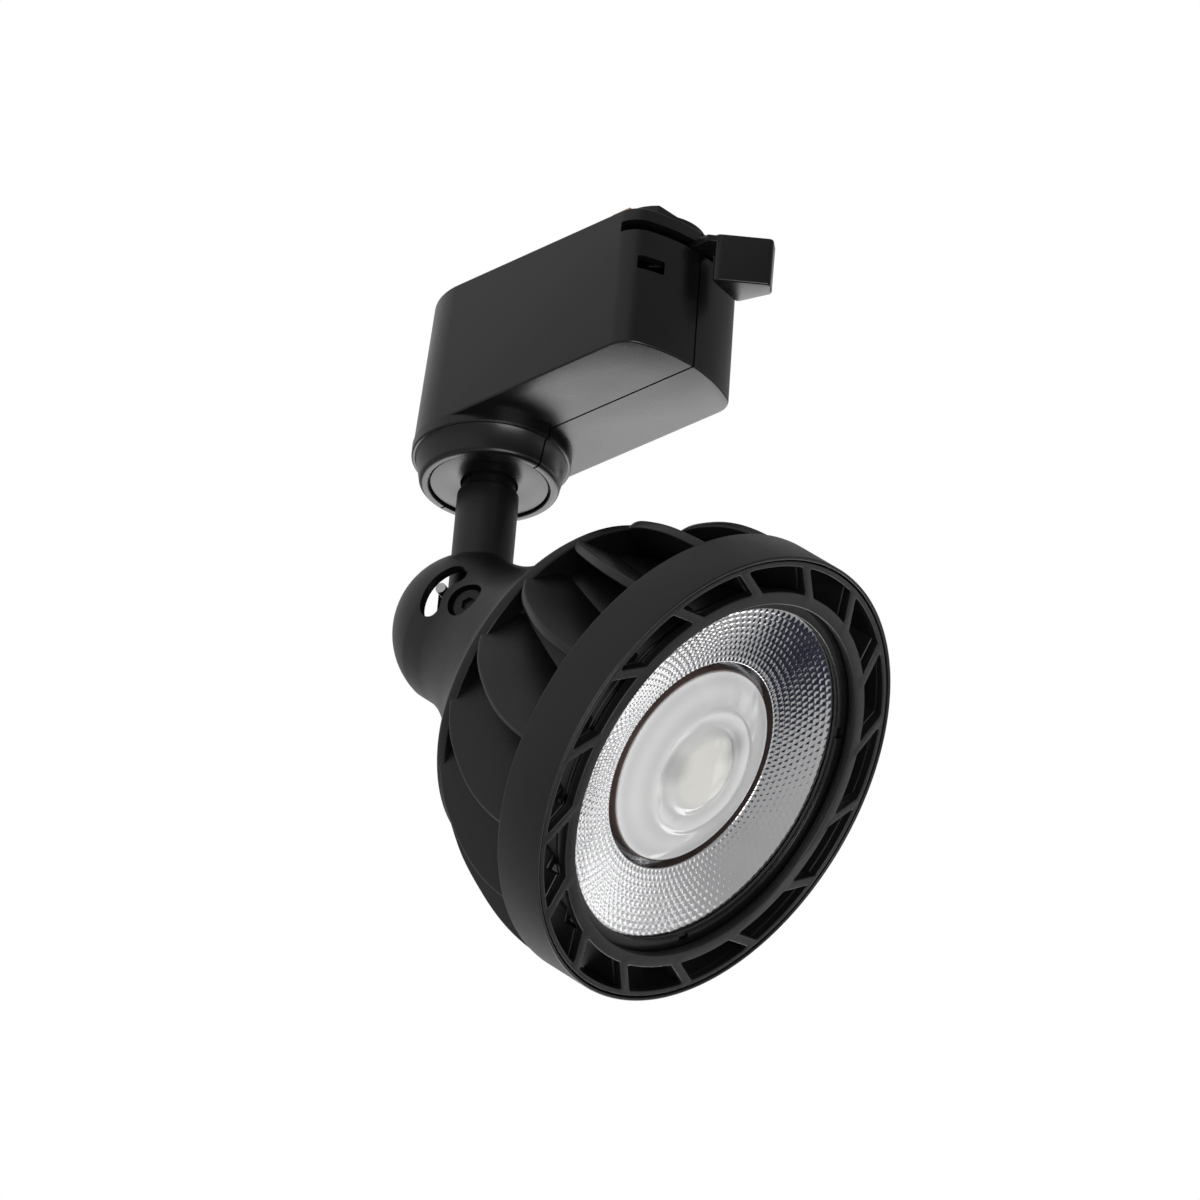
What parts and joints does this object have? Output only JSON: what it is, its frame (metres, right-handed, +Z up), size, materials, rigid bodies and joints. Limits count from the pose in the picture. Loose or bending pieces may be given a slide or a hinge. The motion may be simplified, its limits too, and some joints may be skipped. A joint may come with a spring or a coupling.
{
  "type": "track spotlight",
  "caption": "Black LED track spotlight: a track adapter with a lock lever, a panning stem, and a finned round head that tilts on a pivot screw.",
  "frame": {"origin": "on the adapter's flat top face, which rests against the underside of the track, on the pan axis", "axes": "+Z up into the track; +X along the adapter towards its lock lever; -Y is the adapter's near side. At rest the light points 20.2 degrees from +X towards +Y and 37.4 degrees below the horizontal"},
  "size_m": [0.1066, 0.1014, 0.1697],
  "materials": {
    "black_paint": "satin black powder coat on die-cast or turned aluminium",
    "black_plastic": "satin black moulded thermoplastic",
    "black_steel": "blackened steel",
    "steel": "zinc-plated steel",
    "copper": "spring contact strip",
    "board": "glass-fibre circuit board",
    "dark_core": "wound core and moulded component bodies",
    "capacitor_sleeve": "sleeved aluminium can",
    "capacitor_yellow": "film capacitor case",
    "wire_red": "insulated wire",
    "wire_black": "insulated wire",
    "reflector": "bright metallised, stippled",
    "frosted_lens": "clear moulded lens with a frosted front",
    "gasket": "black silicone",
    "pad": "grey thermal pad",
    "cob_board": "bare aluminium board",
    "phosphor": "yellow phosphor over the chips",
    "white_holder": "white moulded holder"
  },
  "bodies": {
    "adapter": {"adapter_shell_near": "black_plastic", "adapter_shell_far": "black_plastic", "adapter_screw_1": "steel", "adapter_screw_2": "steel", "pan_plate": "black_plastic", "guide_foot": "black_plastic", "pan_stop_post": "steel", "driver_board": "board", "driver_transformer": "dark_core", "driver_capacitor": "capacitor_sleeve", "driver_film_capacitor": "capacitor_yellow", "driver_bridge": "dark_core", "feed_wire_live": "wire_red", "feed_wire_neutral": "wire_black", "output_wire_1": "wire_red", "output_wire_2": "wire_black"},
    "lock": {"lock_turret": "black_plastic", "contact_live": "copper", "contact_neutral": "copper", "lock_clip": "steel", "lock_lever": "black_plastic"},
    "stem": {"stem": "black_paint", "pan_stop_washer": "steel", "pan_nut": "steel", "stem_wire_1": "wire_red", "stem_wire_2": "wire_black", "tilt_knuckle": "black_paint", "tilt_stop_pin": "steel"},
    "head": {"heat_sink": "black_paint", "front_grille": "black_paint", "pivot_screw": "black_steel", "pivot_nut": "black_steel", "reflector": "reflector", "centre_lens": "frosted_lens", "lens_gasket": "gasket", "retaining_ring": "black_paint", "thermal_pad": "pad", "cob_board": "cob_board", "cob_emitter": "phosphor", "cob_holder": "white_holder", "holder_screw_1": "steel", "holder_screw_2": "steel", "head_wire_1": "wire_red", "head_wire_2": "wire_black"}
  },
  "joints": [
    {"name": "lock_turn", "type": "hinge", "parent": "adapter", "child": "lock", "pos_m": [0.046, 0, 0], "axis": [0, 0, 1], "range_deg": [-56, 0]},
    {"name": "pan", "type": "hinge", "parent": "adapter", "child": "stem", "pos_m": [0, 0, -0.04], "axis": [0, 0, 1], "range_deg": [-165, 165]},
    {"name": "tilt", "type": "hinge", "parent": "stem", "child": "head", "pos_m": [0.00553, 0.00203, -0.08189], "axis": [-0.3453, 0.9385, 0], "range_deg": [-34, 37.6]}
  ]
}
